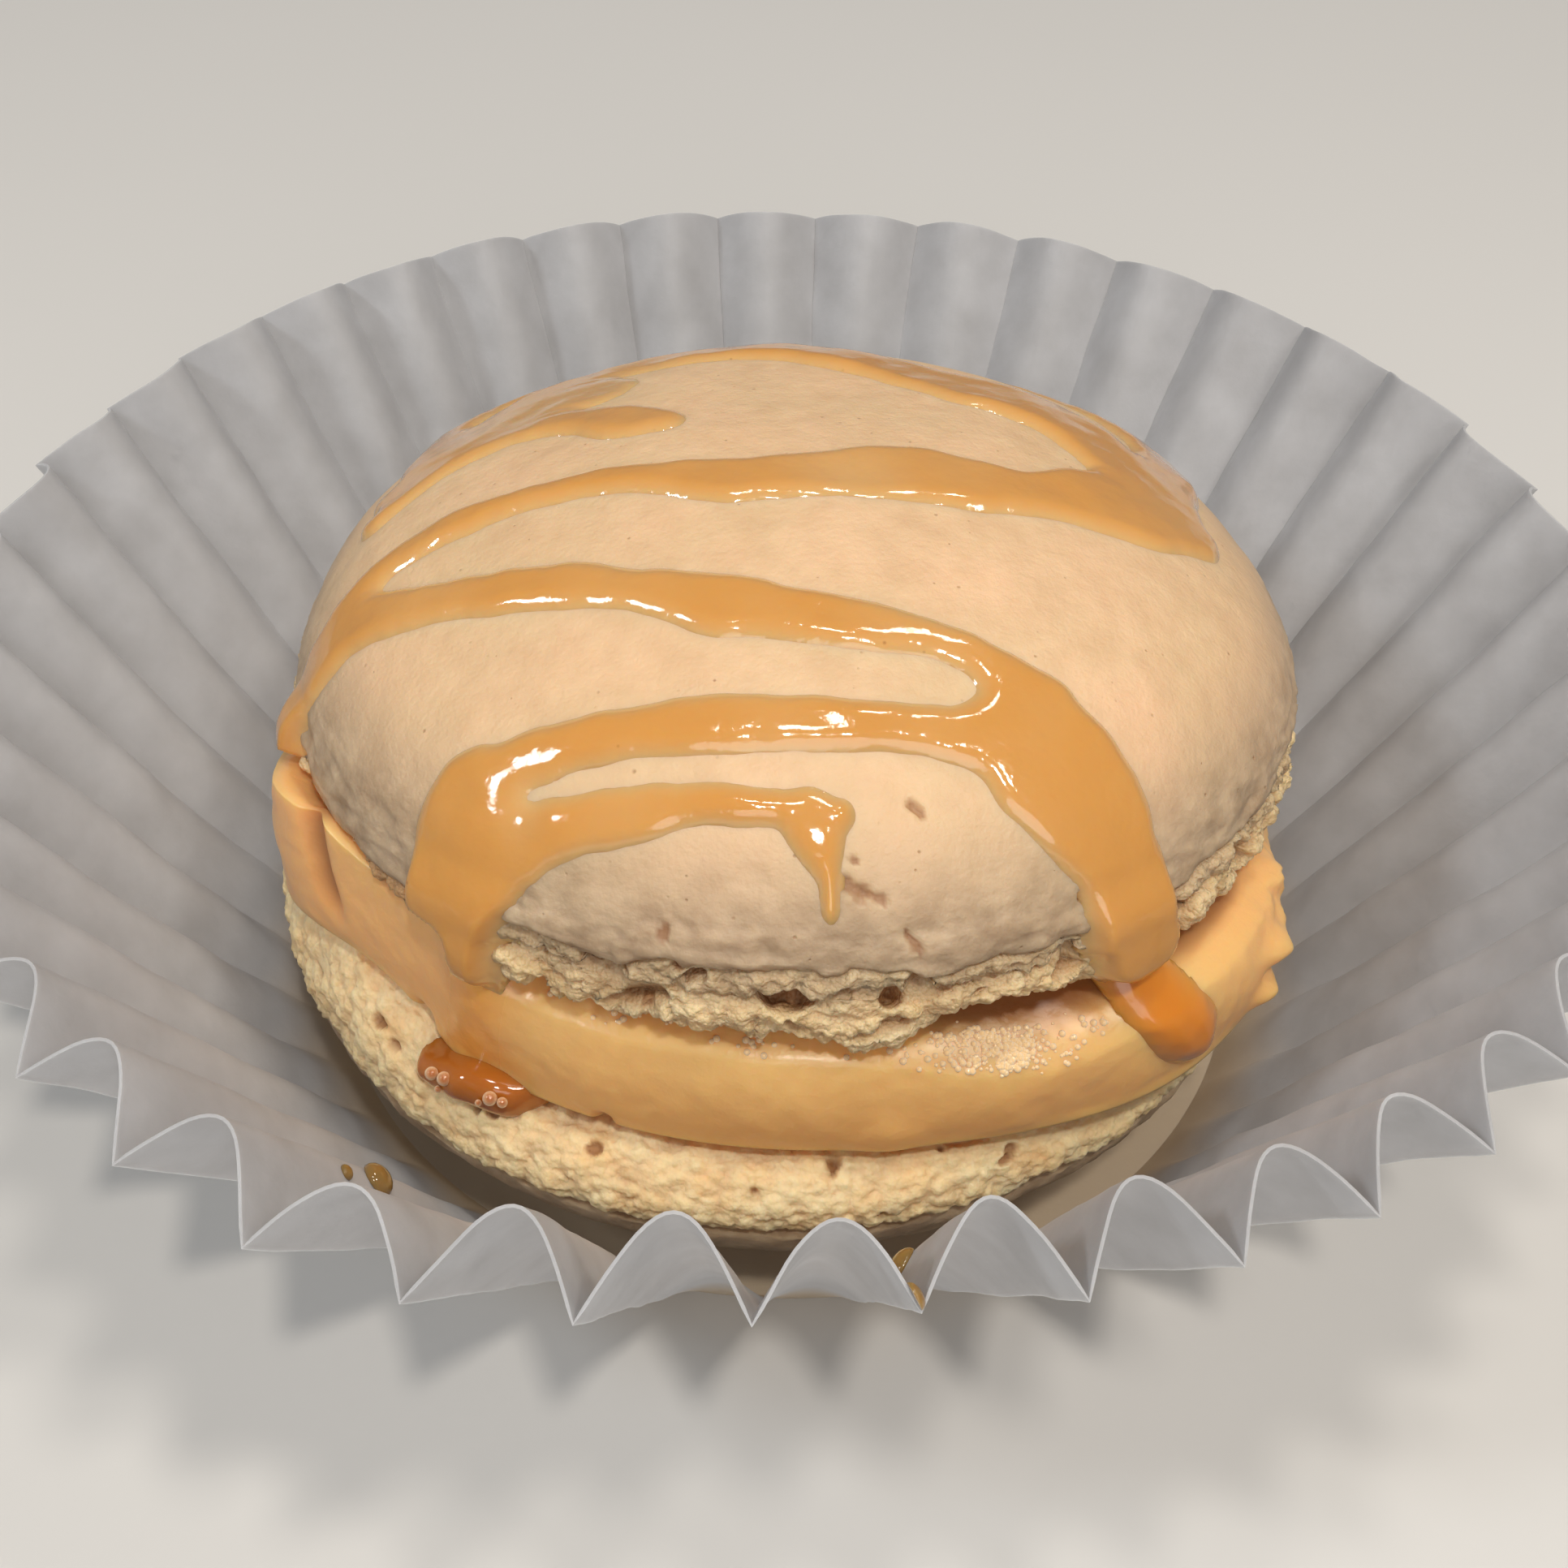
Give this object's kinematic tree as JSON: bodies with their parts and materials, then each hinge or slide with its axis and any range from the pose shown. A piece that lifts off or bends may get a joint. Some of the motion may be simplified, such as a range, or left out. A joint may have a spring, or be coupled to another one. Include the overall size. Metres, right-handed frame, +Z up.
{
  "type": "macaron in a paper case",
  "caption": "Round sandwich biscuit of almond shells with buttercream, a caramel drizzle over its top and a caramel seep, sitting in a flared pleated paper case.",
  "frame": {"origin": "middle of the paper case's flat underside", "axes": "+Z up, the side where the buttercream is thickest faces -Y, +X to the right seen from there"},
  "size_m": [0.076, 0.0761, 0.0307],
  "materials": {
    "paper": "matte",
    "almond_shell": "matte",
    "buttercream": "satin",
    "caramel": "gloss"
  },
  "bodies": {
    "root": {"paper_case": "paper", "lower_shell": "almond_shell", "caramel_layer": "caramel", "filling": "buttercream", "upper_shell": "almond_shell"}
  },
  "joints": []
}
